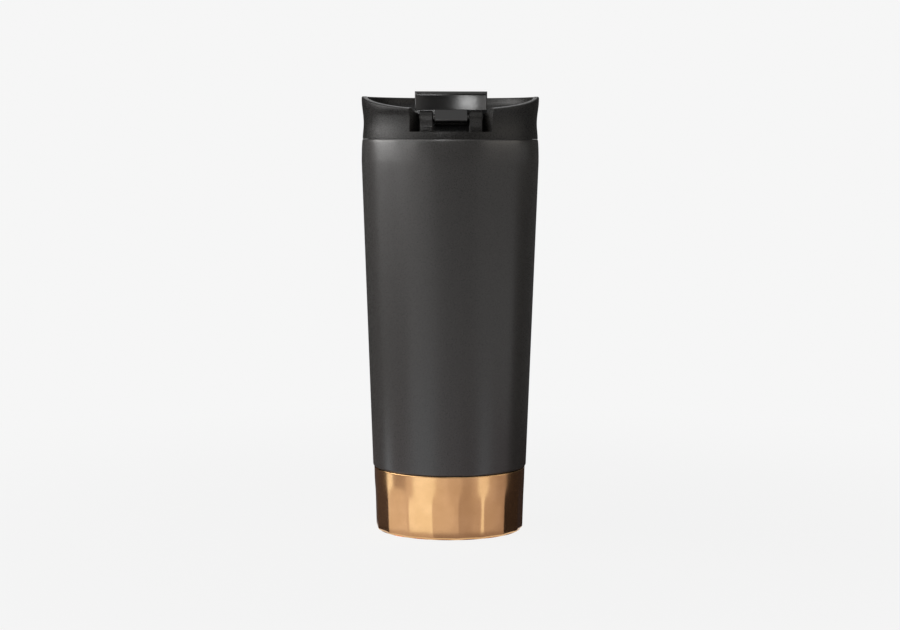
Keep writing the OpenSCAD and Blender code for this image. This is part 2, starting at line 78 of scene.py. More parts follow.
# camera, light and floor
view = {
    "lens": 82.85,
    "sensor": 36,
    "clipStart": 0.01,
    "distance": 0.9687,
    "height": 0.1831,
    "side": 0.00008,
    "tilt": 4.846,     # degrees down
    "turn": -0.6,      # degrees round the tumbler
    "roll": 0.132,
}


def makeCamera():
    data = bpy.data.cameras.new("camera")
    data.lens = view["lens"]
    data.sensor_width = view["sensor"]
    data.clip_start = view["clipStart"]
    camera = bpy.data.objects.new("camera", data)
    scene.collection.objects.link(camera)
    turn = math.radians(view["turn"])
    x, y = view["side"], -view["distance"]
    camera.location = (x * math.cos(turn) - y * math.sin(turn),
                       x * math.sin(turn) + y * math.cos(turn), view["height"])
    camera.rotation_euler = (math.radians(90 - view["tilt"]), 0, turn)
    camera.rotation_euler.rotate_axis("Z", math.radians(view["roll"]))
    scene.camera = camera


lamps = {
    # name: azimuth from the front (right is positive), height, distance, width, tall, power, colour
    "sideLeft": (-97, 0.403, 0.851, 0.70, 0.26, 3.5, (1.0, 0.985, 0.965)),
    "frontLeft": (-54, 0.358, 0.865, 0.28, 0.26, 0.85, (1.0, 0.985, 0.965)),
    "highLeft": (-58, 0.626, 0.737, 0.90, 0.16, 1.7, (1.0, 0.985, 0.965)),
    "lowLeft": (-48, 0.157, 0.90, 0.80, 0.14, 0.4, (1.0, 0.985, 0.965)),
    "highFront": (8, 0.626, 0.737, 0.30, 0.30, 0.45, (1.0, 0.98, 0.95)),
    "sideRight": (72, 0.388, 0.856, 0.90, 0.30, 1.2, (1.0, 0.94, 0.85)),
}
lampAim = Vector((0, 0, 0.11))


def makeLamp(name, azimuth, height, distance, width, tall, power, colour):
    data = bpy.data.lights.new(name, "AREA")
    data.shape = "RECTANGLE"
    data.size = width
    data.size_y = tall
    data.energy = power
    data.color = colour
    lamp = bpy.data.objects.new(name, data)
    scene.collection.objects.link(lamp)
    a = math.radians(azimuth)
    lamp.location = (distance * math.sin(a), -distance * math.cos(a), height)
    lamp.rotation_euler = (lampAim - lamp.location).to_track_quat("-Z", "Y").to_euler()
    lamp.visible_camera = False


def addNode(tree, kind, **values):
    node = tree.nodes.new(kind)
    for key, value in values.items():
        setattr(node, key, value)
    return node


backdrop = {
    "pale": 0.921,        # what the camera and the reflections see
    "fill": 0.04,         # strength of the world's own light
    "fillColour": (0.98, 0.99, 1.0),
    "floorRadius": 4.0,
    "floorSegments": 96,
    "floorColour": (0.86, 0.86, 0.86),
    "below": 0.00005,     # the floor lies this far under the foot
    "shadowNear": 0.10,
    "shadowFar": 0.45,
    "shadowShare": 0.955,
}


def seenShare(tree):
    # 1 for what the camera, a mirror or a glass sees
    path = addNode(tree, "ShaderNodeLightPath")
    share = path.outputs["Is Camera Ray"]
    for other in ("Is Glossy Ray", "Is Transmission Ray"):
        either = addNode(tree, "ShaderNodeMath", operation="MAXIMUM")
        tree.links.new(share, either.inputs[0])
        tree.links.new(path.outputs[other], either.inputs[1])
        share = either.outputs[0]
    return share


def makeWorld():
    world = bpy.data.worlds.new("studio")
    scene.world = world
    world.use_nodes = True
    tree = world.node_tree
    tree.nodes.clear()
    out = addNode(tree, "ShaderNodeOutputWorld")
    seen = addNode(tree, "ShaderNodeBackground")
    seen.inputs["Color"].default_value = (backdrop["pale"],) * 3 + (1,)
    lit = addNode(tree, "ShaderNodeBackground")
    lit.inputs["Color"].default_value = (*backdrop["fillColour"], 1)
    lit.inputs["Strength"].default_value = backdrop["fill"]
    mix = addNode(tree, "ShaderNodeMixShader")
    share = seenShare(tree)
    tree.links.new(share, mix.inputs[0])
    tree.links.new(lit.outputs[0], mix.inputs[1])
    tree.links.new(seen.outputs[0], mix.inputs[2])
    tree.links.new(mix.outputs[0], out.inputs[0])


def makeFloor():
    mesh = bpy.data.meshes.new("floor")
    form = bmesh.new()
    bmesh.ops.create_circle(form, cap_ends=True, segments=backdrop["floorSegments"],
                            radius=backdrop["floorRadius"])
    form.to_mesh(mesh)
    form.free()
    floor = bpy.data.objects.new("floor", mesh)
    scene.collection.objects.link(floor)
    floor.location.z = cadLow.z - backdrop["below"]
    material = bpy.data.materials.new("paleFloor")
    material.use_nodes = True
    tree = material.node_tree
    tree.nodes.clear()
    out = addNode(tree, "ShaderNodeOutputMaterial")
    matte = addNode(tree, "ShaderNodeBsdfDiffuse")
    matte.inputs["Color"].default_value = (*backdrop["floorColour"], 1)
    glow = addNode(tree, "ShaderNodeEmission")
    glow.inputs["Color"].default_value = (backdrop["pale"],) * 3 + (1,)
    place = addNode(tree, "ShaderNodeTexCoord")
    length = addNode(tree, "ShaderNodeVectorMath", operation="LENGTH")
    fade = addNode(tree, "ShaderNodeMapRange", interpolation_type="SMOOTHSTEP")
    fade.inputs["From Min"].default_value = backdrop["shadowNear"]
    fade.inputs["From Max"].default_value = backdrop["shadowFar"]
    fade.inputs["To Min"].default_value = backdrop["shadowShare"]
    share = seenShare(tree)
    both = addNode(tree, "ShaderNodeMath", operation="MULTIPLY")
    mix = addNode(tree, "ShaderNodeMixShader")
    tree.links.new(place.outputs["Object"], length.inputs[0])
    tree.links.new(length.outputs["Value"], fade.inputs["Value"])
    tree.links.new(fade.outputs["Result"], both.inputs[0])
    tree.links.new(share, both.inputs[1])
    tree.links.new(both.outputs[0], mix.inputs[0])
    tree.links.new(matte.outputs[0], mix.inputs[1])
    tree.links.new(glow.outputs[0], mix.inputs[2])
    tree.links.new(mix.outputs[0], out.inputs["Surface"])
    mesh.materials.append(material)


cards = {
    # name: from and to (degrees from the front of the wall that mirrors it), near and far end, glow
    "darkLeft": (-89, -56, 0.012, 0.30, 0.07),
    "edgeLeft": (-56, -49, 0.09, 0.20, 1.6),
    "dipLeft": (-49, -36, 0.09, 0.30, 0.40),
    "nearLeft": (-56, -36, 0.012, 0.09, 0.90),
    "riseLeft": (-36, -29, 0.012, 0.30, 0.79),
    "brightLeft": (-29, -11, 0.012, 0.30, 1.36),
    "fallLeft": (-11, -2, 0.012, 0.30, 0.87),
    "greyFront": (-2, 9, 0.012, 0.30, 0.74),
    "dimFront": (9, 17, 0.012, 0.30, 0.52),
    "riseRight": (17, 22, 0.012, 0.30, 0.62),
    "brightRight": (22, 31, 0.012, 0.30, 1.25),
    "fallRight": (31, 38, 0.012, 0.30, 0.61),
    "greyRight": (38, 49, 0.012, 0.30, 0.47),
    "darkRight": (49, 89, 0.012, 0.30, 0.03),
    "footSideLeft": (-89, -56, 0.0, 0.012, 0.05),
    "footLeft": (-56, -11, 0.0, 0.012, 0.62),
    "footRight": (-11, 49, 0.0, 0.012, 0.36),
    "footSideRight": (49, 89, 0.0, 0.012, 0.03),
    "farSideLeft": (-88, -56, 0.30, 1.3, 0.03),
    "farLeft": (-56, -30, 0.30, 1.3, 0.17),
    "farFrontLeft": (-30, -8, 0.30, 1.3, 1),
    "farFront": (-8, 17, 0.30, 1.3, 0.63),
    "farRight": (17, 49, 0.30, 1.3, 0.8),
    "farSideRight": (49, 88, 0.30, 1.3, 0.06),
    "wallSideLeft": (-88, -56, 1.3, 1.3, 0.03),
    "wallLeft": (-56, -30, 1.3, 1.3, 0.9),
    "wallFrontLeft": (-30, -8, 1.3, 1.3, 0.05),
    "wallFront": (-8, 17, 1.3, 1.3, 0.2),
    "wallRight": (17, 49, 1.3, 1.3, 0.34),
    "wallSideRight": (49, 88, 1.3, 1.3, 0.06),
}
cardForm = {
    "cup": 0.036,         # radius of the wall that mirrors them
    "lift": 0.0002,       # above the floor
    "height": 1.2,        # of the standing ones
    "steps": 10,
    "lidSteps": 8,
    "nearEnd": 0.31,      # cards that end before this are seen by the copper
}
nearTones = {
    "full": 1.4,          # glow at which a card is coolest
    "dark": (1.10, 0.86, 0.90),
    "change": (-0.14, 0.16, 0.16),
}
lidCards = {
    # name: from and to (degrees from the front), distance, lower and upper end, glow
    "lidWide": (-15, -1, 0.070, 0.196, 0.2034, 2.8),
    "lidCore": (-13.6, -4.4, 0.069, 0.198, 0.2034, 16.0),
    "lidSide": (-104, -62, 0.27, 0.180, 0.202, 5.0),
    "lidTall": (-70, -28, 0.28, 0.235, 0.28, 1.8),
    "lidRight": (36, 110, 0.27, 0.170, 0.200, 0.5),
}


def makeCard(name, start, end, near, far, glow):
    # lies on the floor, or stands where near and far are equal, and shows only in reflections
    form = bmesh.new()
    steps = cardForm["steps"]
    rows = []
    lift = cardForm["lift"]
    for reach, z in ((near, lift), (far, lift if far > near else cardForm["height"])):
        row = []
        for i in range(steps + 1):
            a = math.radians(start + (end - start) * i / steps)
            row.append(form.verts.new((cardForm["cup"] * math.sin(a) + reach * math.sin(2 * a),
                                       -cardForm["cup"] * math.cos(a) - reach * math.cos(2 * a), z)))
        rows.append(row)
    for low, high in zip(rows, rows[1:]):
        for i in range(steps):
            form.faces.new((low[i], low[i + 1], high[i + 1], high[i]))
    showInReflections(name, form, glow, nearTone(glow) if far < cardForm["nearEnd"] else (1, 1, 1))


def nearTone(glow):
    # beside the copper the bright cards are a little cool and the dark ones brown
    cool = min(glow / nearTones["full"], 1)
    return [dark + change * cool for dark, change in zip(nearTones["dark"], nearTones["change"])]


def makeLidCard(name, start, end, distance, low, high, glow):
    # stands near the lid, and gives the lever, the collar and the shoulder their highlights
    form = bmesh.new()
    steps = cardForm["lidSteps"]
    rows = []
    for z in (low, high):
        row = []
        for i in range(steps + 1):
            a = math.radians(start + (end - start) * i / steps)
            row.append(form.verts.new((distance * math.sin(a), -distance * math.cos(a), z)))
        rows.append(row)
    for i in range(steps):
        form.faces.new((rows[0][i], rows[0][i + 1], rows[1][i + 1], rows[1][i]))
    showInReflections(name, form, glow)


def showInReflections(name, form, glow, tone=(1, 1, 1)):
    mesh = bpy.data.meshes.new(name)
    form.to_mesh(mesh)
    form.free()
    card = bpy.data.objects.new(name, mesh)
    scene.collection.objects.link(card)
    material = bpy.data.materials.new(name)
    material.use_nodes = True
    tree = material.node_tree
    tree.nodes.clear()
    out = addNode(tree, "ShaderNodeOutputMaterial")
    light = addNode(tree, "ShaderNodeEmission")
    light.inputs["Color"].default_value = (glow * tone[0], glow * tone[1], glow * tone[2], 1)
    tree.links.new(light.outputs[0], out.inputs["Surface"])
    mesh.materials.append(material)
    card.visible_camera = False
    card.visible_diffuse = False
    card.visible_shadow = False


makeCamera()
scene.view_settings.view_transform = "Standard"
makeWorld()
makeFloor()
for cardName, cardValues in cards.items():
    makeCard(cardName, *cardValues)
for cardName, cardValues in lidCards.items():
    makeLidCard(cardName, *cardValues)
for lampName, lampValues in lamps.items():
    makeLamp(lampName, *lampValues)
print("camera, light and floor are in place")

# materials


def newMaterial(name, colour, roughness, metallic=0.0, **sockets):
    material = bpy.data.materials.new(name)
    material.use_nodes = True
    material.diffuse_color = (*colour, 1)
    shader = material.node_tree.nodes["Principled BSDF"]
    shader.inputs["Base Color"].default_value = (*colour, 1)
    shader.inputs["Roughness"].default_value = roughness
    shader.inputs["Metallic"].default_value = metallic
    for key, value in sockets.items():
        shader.inputs[key].default_value = value
    return material, material.node_tree, shader


def noise(tree, scale, detail=2.0, roughness=0.5, stretch=(1, 1, 1)):
    # noise whose grain is scale metres across
    place = addNode(tree, "ShaderNodeTexCoord")
    mapping = addNode(tree, "ShaderNodeMapping")
    mapping.inputs["Scale"].default_value = stretch
    texture = addNode(tree, "ShaderNodeTexNoise")
    texture.inputs["Scale"].default_value = 1 / scale
    texture.inputs["Detail"].default_value = detail
    texture.inputs["Roughness"].default_value = roughness
    tree.links.new(place.outputs["Object"], mapping.inputs["Vector"])
    tree.links.new(mapping.outputs["Vector"], texture.inputs["Vector"])
    return texture.outputs["Fac"]


def spread(tree, source, low, high, fromLow=0.35, fromHigh=0.65):
    node = addNode(tree, "ShaderNodeMapRange")
    node.inputs["From Min"].default_value = fromLow
    node.inputs["From Max"].default_value = fromHigh
    node.inputs["To Min"].default_value = low
    node.inputs["To Max"].default_value = high
    tree.links.new(source, node.inputs["Value"])
    return node.outputs["Result"]


def tint(tree, source, low, high):
    node = addNode(tree, "ShaderNodeMix", data_type="RGBA")
    node.inputs["A"].default_value = (*low, 1)
    node.inputs["B"].default_value = (*high, 1)
    tree.links.new(source, node.inputs["Factor"])
    return node.outputs["Result"]


def bump(tree, source, depth, strength=1.0, after=None):
    node = addNode(tree, "ShaderNodeBump")
    node.inputs["Strength"].default_value = strength
    node.inputs["Distance"].default_value = depth
    tree.links.new(source, node.inputs["Height"])
    if after:
        tree.links.new(after, node.inputs["Normal"])
    return node.outputs["Normal"]


def powderCoat():
    finish = {"grain": 0.32 * mm, "orangePeel": 1.6 * mm, "depth": 0.012 * mm,
              "roughness": 0.31, "roughRange": (0.26, 0.32)}
    dark, light = (0.047, 0.0448, 0.0436), (0.054, 0.0515, 0.050)
    material, tree, shader = newMaterial("powderCoat", light, finish["roughness"])
    fine = noise(tree, finish["grain"], 3)
    broad = noise(tree, finish["orangePeel"], 1)
    tree.links.new(tint(tree, spread(tree, fine, 0, 1), dark, light), shader.inputs["Base Color"])
    tree.links.new(spread(tree, fine, *finish["roughRange"]), shader.inputs["Roughness"])
    low = bump(tree, broad, finish["depth"], 0.6)
    tree.links.new(bump(tree, fine, finish["depth"], 0.9, low), shader.inputs["Normal"])
    return material


def texturedBlack():
    finish = {"grain": 0.46 * mm, "depth": 0.13 * mm, "specular": 0.23,
              "roughness": 0.3, "roughRange": (0.25, 0.34)}
    plain, dark, light = (0.018, 0.0172, 0.0168), (0.012, 0.0114, 0.0108), (0.028, 0.0266, 0.0255)
    material, tree, shader = newMaterial("texturedBlack", plain, finish["roughness"],
                                         **{"Specular IOR Level": finish["specular"]})
    fine = noise(tree, finish["grain"], 2, 0.6)
    tree.links.new(tint(tree, spread(tree, fine, 0, 1), dark, light), shader.inputs["Base Color"])
    tree.links.new(spread(tree, fine, *finish["roughRange"]), shader.inputs["Roughness"])
    tree.links.new(bump(tree, fine, finish["depth"]), shader.inputs["Normal"])
    return material


def satinBlack():
    finish = {"grain": 0.5 * mm, "depth": 0.01 * mm, "roughness": 0.2, "roughRange": (0.17, 0.23)}
    plain = (0.018, 0.0172, 0.0168)
    material, tree, shader = newMaterial("satinBlack", plain, finish["roughness"])
    fine = noise(tree, finish["grain"], 2)
    tree.links.new(spread(tree, fine, *finish["roughRange"]), shader.inputs["Roughness"])
    tree.links.new(bump(tree, fine, finish["depth"]), shader.inputs["Normal"])
    return material


def copperPlate():
    finish = {"brush": 0.10 * mm, "along": 0.12, "cloud": 9 * mm, "depth": 0.002 * mm,
              "roughness": 0.20, "roughRange": (0.17, 0.24)}
    deep, pale = (0.70, 0.41, 0.185), (0.76, 0.455, 0.215)
    material, tree, shader = newMaterial("copperPlate", pale, finish["roughness"], 1.0)
    brushed = noise(tree, finish["brush"], 2, 0.5, (finish["along"], finish["along"], 1))
    cloud = noise(tree, finish["cloud"], 2)
    tree.links.new(tint(tree, spread(tree, cloud, 0, 1), deep, pale), shader.inputs["Base Color"])
    tree.links.new(spread(tree, brushed, *finish["roughRange"]), shader.inputs["Roughness"])
    tree.links.new(bump(tree, brushed, finish["depth"], 0.5), shader.inputs["Normal"])
    return material


def brushedSteel():
    finish = {"brush": 0.12 * mm, "along": 0.06, "depth": 0.003 * mm,
              "roughness": 0.28, "roughRange": (0.22, 0.36)}
    plain, dull, bright = (0.60, 0.585, 0.565), (0.54, 0.525, 0.505), (0.64, 0.625, 0.605)
    material, tree, shader = newMaterial("brushedSteel", plain, finish["roughness"], 1.0)
    brushed = noise(tree, finish["brush"], 3, 0.6, (finish["along"], finish["along"], 1))
    tree.links.new(tint(tree, spread(tree, brushed, 0, 1), dull, bright), shader.inputs["Base Color"])
    tree.links.new(spread(tree, brushed, *finish["roughRange"]), shader.inputs["Roughness"])
    tree.links.new(bump(tree, brushed, finish["depth"], 0.6), shader.inputs["Normal"])
    return material


def silicone(name, low, high, roughness):
    finish = {"cloud": 3 * mm, "grain": 0.3 * mm, "depth": 0.006 * mm}
    material, tree, shader = newMaterial(name, high, roughness)
    cloud = noise(tree, finish["cloud"], 2)
    fine = noise(tree, finish["grain"], 1)
    tree.links.new(tint(tree, spread(tree, cloud, 0, 1), low, high), shader.inputs["Base Color"])
    tree.links.new(bump(tree, fine, finish["depth"]), shader.inputs["Normal"])
    return material


def plainGrain(name, low, high, roughness, metallic, grain, depth):
    material, tree, shader = newMaterial(name, high, roughness, metallic)
    fine = noise(tree, grain * mm, 3)
    tree.links.new(tint(tree, spread(tree, fine, 0, 1), low, high), shader.inputs["Base Color"])
    tree.links.new(bump(tree, fine, depth * mm), shader.inputs["Normal"])
    return material


finishes = {
    "powder_coat": powderCoat(),
    "textured_black": texturedBlack(),
    "satin_black": satinBlack(),
    "copper_plate": copperPlate(),
    "bare_steel": brushedSteel(),
    "clear_silicone": silicone("greySilicone", (0.16, 0.16, 0.158), (0.2, 0.2, 0.197), 0.42),
    "dark_silicone": silicone("darkSilicone", (0.022, 0.022, 0.022), (0.03, 0.03, 0.03), 0.6),
}
plainFinishes = {
    # slot: name, darker and lighter colour, roughness, metallic, grain and its depth in millimetres
    "white_foam": ("whiteFoam", (0.7, 0.7, 0.68), (0.82, 0.82, 0.8), 0.8, 0, 1.2, 0.1),
    "copper_foil": ("copperFoil", (0.68, 0.36, 0.22), (0.78, 0.46, 0.3), 0.22, 1, 4, 0.05),
    "getter_grey": ("getterGrey", (0.12, 0.12, 0.12), (0.2, 0.2, 0.2), 0.7, 0.5, 0.2, 0.03),
    "solder": ("solder", (0.4, 0.4, 0.4), (0.5, 0.5, 0.49), 0.4, 1, 0.6, 0.02),
}
for plainSlot, plainValues in plainFinishes.items():
    finishes[plainSlot] = plainGrain(*plainValues)
# painted shade: the hinge pin gets this dark steel in place of its bare steel, so that it reads dark in
# the gap beside the heel
pinPaintedShade = plainGrain("pinPaintedShade", (0.05, 0.049, 0.048), (0.08, 0.078, 0.076), 0.38, 1, 0.3, 0.01)
slotOf = {part["node"]: part["material_slot"] for part in frame["record"]["subparts"]}
for nodeName, nodeObject in nodes.items():
    # the hinge pin is drawn dark, as painted shade in its gap
    nodeFinish = pinPaintedShade if nodeName == "hinge_pin" else finishes[slotOf[nodeName]]
    nodeObject.data.materials.clear()
    nodeObject.data.materials.append(nodeFinish)
print("materials are made")

# mesh helpers


def ease(t):
    t = min(max(t, 0), 1)
    return (1 - math.cos(math.pi * t)) / 2


def arc(cx, cz, radius, start, end, steps=8):
    angles = [math.radians(start + (end - start) * i / steps) for i in range(steps + 1)]
    return [(cx + radius * math.cos(a), cz + radius * math.sin(a)) for a in angles]


def lathe(profile, segments):
    # profile runs as (radius, z), in millimetres, from the lower middle round to the upper middle
    form = bmesh.new()
    rings = []
    for radius, z in profile:
        rings.append([form.verts.new((radius * mm * math.sin(2 * math.pi * i / segments),
                                      -radius * mm * math.cos(2 * math.pi * i / segments), z * mm))
                      for i in range(segments)])
    for low, high in zip(rings, rings[1:]):
        for i in range(segments):
            j = (i + 1) % segments
            form.faces.new((low[i], low[j], high[j], high[i]))
    return form, rings


def toObject(name, form, sharp=35):
    mesh = bpy.data.meshes.new(name)
    bmesh.ops.recalc_face_normals(form, faces=form.faces[:])
    form.to_mesh(mesh)
    form.free()
    made = bpy.data.objects.new(name, mesh)
    scene.collection.objects.link(made)
    mesh.shade_smooth()
    mesh.set_sharp_from_angle(angle=math.radians(sharp))
    return made


def bake(made):
    # turns the live modifiers into the mesh itself
    graph = bpy.context.evaluated_depsgraph_get()
    mesh = bpy.data.meshes.new_from_object(made.evaluated_get(graph))
    made.modifiers.clear()
    old = made.data
    made.data = mesh
    bpy.data.meshes.remove(old)
    mesh.name = made.name


def cutWith(made, tool, operation="DIFFERENCE"):
    modifier = made.modifiers.new("cut", "BOOLEAN")
    modifier.operation = operation
    modifier.solver = "EXACT"
    modifier.object = tool
    bake(made)
    bpy.data.objects.remove(tool)


def prism(name, outline, low, high, axis="Z"):
    # outline is (x, y) for axis Z and (y, z) for axis X, in millimetres
    form = bmesh.new()
    if axis == "Z":
        points = [Vector((x, y, low)) * mm for x, y in outline]
        shift = Vector((0, 0, high - low)) * mm
    else:
        points = [Vector((low, y, z)) * mm for y, z in outline]
        shift = Vector((high - low, 0, 0)) * mm
    face = form.faces.new([form.verts.new(p) for p in points])
    grown = bmesh.ops.extrude_face_region(form, geom=[face])
    moved = [v for v in grown["geom"] if isinstance(v, bmesh.types.BMVert)]
    bmesh.ops.translate(form, verts=moved, vec=shift)
    return toObject(name, form)


def roundEdges(made, width, segments, weightOf, least=30):
    # weightOf gives the share of width for an edge from its middle and its direction
    mesh = made.data
    form = bmesh.new()
    form.from_mesh(mesh)
    layer = form.edges.layers.float.new("bevel_weight_edge")
    for edge in form.edges:
        if len(edge.link_faces) == 2 and edge.calc_face_angle(0) > math.radians(least):
            middle = (edge.verts[0].co + edge.verts[1].co) / 2 / mm
            along = (edge.verts[1].co - edge.verts[0].co).normalized()
            edge[layer] = weightOf(middle, along)
    form.to_mesh(mesh)
    form.free()
    modifier = made.modifiers.new("round", "BEVEL")
    modifier.limit_method = "WEIGHT"
    modifier.width = width * mm
    modifier.segments = segments
    modifier.use_clamp_overlap = True
    modifier.miter_outer = "MITER_ARC"
    bake(made)


def evenNormals(made):
    # lets the large faces set the shading, so that a rounded edge doesn't tilt them
    modifier = made.modifiers.new("even", "WEIGHTED_NORMAL")
    modifier.mode = "FACE_AREA"
    modifier.weight = 100
    modifier.keep_sharp = True
    bake(made)


def finishPiece(made, body, slotName, *replaced, sharp=35, even=False):
    mesh = made.data
    mesh.materials.clear()
    mesh.materials.append(finishes[slotName])
    for polygon in mesh.polygons:
        polygon.material_index = 0
    mesh.shade_smooth()
    mesh.set_sharp_from_angle(angle=math.radians(sharp))
    if even:
        evenNormals(made)
    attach(made, body)
    if replaced:
        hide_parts(*replaced)


# painted shell
shell = {
    "wall": 0.5,
    "shoulderDrop": 10.5,
    "mouthTuck": 0.45,
    "edgeRadius": 0.4,
    "footRadius": 36.0,
    "rollRadius": 1.3,
    "neckWall": 1.6,      # how far the neck stands inside the base
    "baseGap": 0.2,       # shadow gap over the base
    "insideFlat": 3,      # the wall is drawn straight down inside the mouth
    "insideDeep": 8,      # and a little inwards to here
    "insideTuck": 0.2,
    "wallSteps": 40,
    "shoulderSteps": 12,
    "segments": 256,
}


def makeShell():
    top = mouthZ / mm
    wide = shellHigh.x / mm
    foot = shell["footRadius"]
    stepZ = cupHigh.z / mm + shell["baseGap"]
    edge, roll = shell["edgeRadius"], shell["rollRadius"]
    mouth = wide - shell["mouthTuck"]
    shoulderZ = top - shell["shoulderDrop"]
    inner = mouth - shell["wall"]
    neck = cupHigh.x / mm - shell["neckWall"]
    lowZ = shellLow.z / mm
    profile = [(neck - shell["wall"], lowZ), (neck, lowZ), (neck, stepZ)]
    profile += arc(foot - roll, stepZ + roll, roll, -90, 0, 10)
    steps = shell["wallSteps"]
    for i in range(1, steps + 1):
        t = i / steps
        z = stepZ + roll + (shoulderZ - stepZ - roll) * t
        profile.append((foot + (wide - foot) * t, z))
    steps = shell["shoulderSteps"]
    for i in range(1, steps + 1):
        a = math.pi / 2 * i / steps
        profile.append((wide - shell["mouthTuck"] * (1 - math.cos(a)),
                        shoulderZ + (top - edge - shoulderZ) * math.sin(a)))
    profile += arc(mouth - edge, top - edge, edge, 15, 90, 5)
    profile += [(inner, top), (inner, top - shell["insideFlat"]),
                (inner - shell["insideTuck"], top - shell["insideDeep"])]
    segments = shell["segments"]
    form, rings = lathe(profile, segments)
    for i in range(segments):      # the inside, which nothing shows
        j = (i + 1) % segments
        form.faces.new((rings[-1][i], rings[-1][j], rings[0][j], rings[0][i]))
    finishPiece(toObject("paintedShell", form), "tumbler", "powder_coat", "outer_shell", sharp=40)


makeShell()
print("painted shell is made")

# faceted base, shaped by Geometry Nodes
base = {
    "facets": 18,
    "turn": 5.4,          # degrees from the front to an edge
    "fullZ": 13.0,
    "fadeZ": 25.5,
    "soften": 1.1,        # degrees over which an edge is rounded
    "taper": 0.8,
    "edgeRadius": 1.3,
    "padRadius": 29.05,
    "padDepth": 1.6,
    "padLip": 0.15,       # small bevel round the pad's recess
    "floorWide": 8,       # ring of floor drawn over the pad
    "floorTall": 1,
    "boreTuck": 1.3,      # the bore inside the narrow end
    "keepPast": 0.4,      # the facets leave what lies this close to the bore
    "topEdge": 0.3,
    "wallSteps": 56,
    "perFacet": 24,
}


def nodeMath(tree, operation, a, b=None, c=None):
    node = addNode(tree, "ShaderNodeMath", operation=operation)
    for index, value in enumerate((a, b, c)):
        if value is None:
            continue
        if isinstance(value, (int, float)):
            node.inputs[index].default_value = value
        else:
            tree.links.new(value, node.inputs[index])
    return node.outputs[0]


def facetTree():
    tree = bpy.data.node_groups.new("facetRing", "GeometryNodeTree")
    face = tree.interface
    face.new_socket("Geometry", in_out="INPUT", socket_type="NodeSocketGeometry")
    face.new_socket("Geometry", in_out="OUTPUT", socket_type="NodeSocketGeometry")
    sizes = ("facets", "turn", "fullZ", "fadeZ", "soften", "keepRadius")
    for name in sizes:
        face.new_socket(name, in_out="INPUT", socket_type="NodeSocketFloat")
    face.new_socket("finish", in_out="INPUT", socket_type="NodeSocketMaterial")
    source = addNode(tree, "NodeGroupInput")
    result = addNode(tree, "NodeGroupOutput")
    value = {name: source.outputs[name] for name in sizes}
    place = addNode(tree, "GeometryNodeInputPosition")
    parts = addNode(tree, "ShaderNodeSeparateXYZ")
    tree.links.new(place.outputs[0], parts.inputs[0])
    x, y, z = parts.outputs
    radius = nodeMath(tree, "SQRT", nodeMath(tree, "ADD", nodeMath(tree, "MULTIPLY", x, x),
                                             nodeMath(tree, "MULTIPLY", y, y)))
    # angle from the front, measured to the right, and its place within one facet
    angle = nodeMath(tree, "ARCTAN2", x, nodeMath(tree, "MULTIPLY", y, -1.0))
    step = nodeMath(tree, "DIVIDE", 2 * math.pi, value["facets"])
    half = nodeMath(tree, "DIVIDE", step, 2.0)
    local = nodeMath(tree, "SUBTRACT", angle, value["turn"])
    turns = nodeMath(tree, "ADD", nodeMath(tree, "DIVIDE", local, step), 100.0)      # keeps it positive
    inside = nodeMath(tree, "ABSOLUTE", nodeMath(tree, "MULTIPLY", nodeMath(
        tree, "SUBTRACT", nodeMath(tree, "FRACT", turns), 0.5), step))
    # the edge is rounded by easing the angle off before it
    capped = nodeMath(tree, "SMOOTH_MIN", inside, nodeMath(tree, "SUBTRACT", half, value["soften"]),
                      value["soften"])
    flat = nodeMath(tree, "DIVIDE", nodeMath(tree, "COSINE", half), nodeMath(tree, "COSINE", capped))
    fade = addNode(tree, "ShaderNodeMapRange", interpolation_type="SMOOTHERSTEP")
    tree.links.new(z, fade.inputs["Value"])
    tree.links.new(value["fullZ"], fade.inputs["From Min"])
    tree.links.new(value["fadeZ"], fade.inputs["From Max"])
    fade.inputs["To Min"].default_value = 1
    fade.inputs["To Max"].default_value = 0
    wall = nodeMath(tree, "GREATER_THAN", radius, value["keepRadius"])
    share = nodeMath(tree, "MULTIPLY", fade.outputs["Result"], wall)
    scale = nodeMath(tree, "ADD", 1.0, nodeMath(tree, "MULTIPLY", share,
                                                nodeMath(tree, "SUBTRACT", flat, 1.0)))
    together = addNode(tree, "ShaderNodeCombineXYZ")
    tree.links.new(nodeMath(tree, "MULTIPLY", x, scale), together.inputs[0])
    tree.links.new(nodeMath(tree, "MULTIPLY", y, scale), together.inputs[1])
    tree.links.new(z, together.inputs[2])
    move = addNode(tree, "GeometryNodeSetPosition")
    real = addNode(tree, "GeometryNodeRealizeInstances")
    finish = addNode(tree, "GeometryNodeSetMaterial")
    tree.links.new(source.outputs["Geometry"], move.inputs["Geometry"])
    tree.links.new(together.outputs[0], move.inputs["Position"])
    tree.links.new(move.outputs[0], real.inputs[0])
    tree.links.new(real.outputs[0], finish.inputs["Geometry"])
    tree.links.new(source.outputs["finish"], finish.inputs["Material"])
    tree.links.new(finish.outputs[0], result.inputs[0])
    return tree


def setInputs(modifier, tree, values):
    for item in tree.interface.items_tree:
        if item.item_type == "SOCKET" and item.in_out == "INPUT" and item.name in values:
            modifier[item.identifier] = values[item.name]


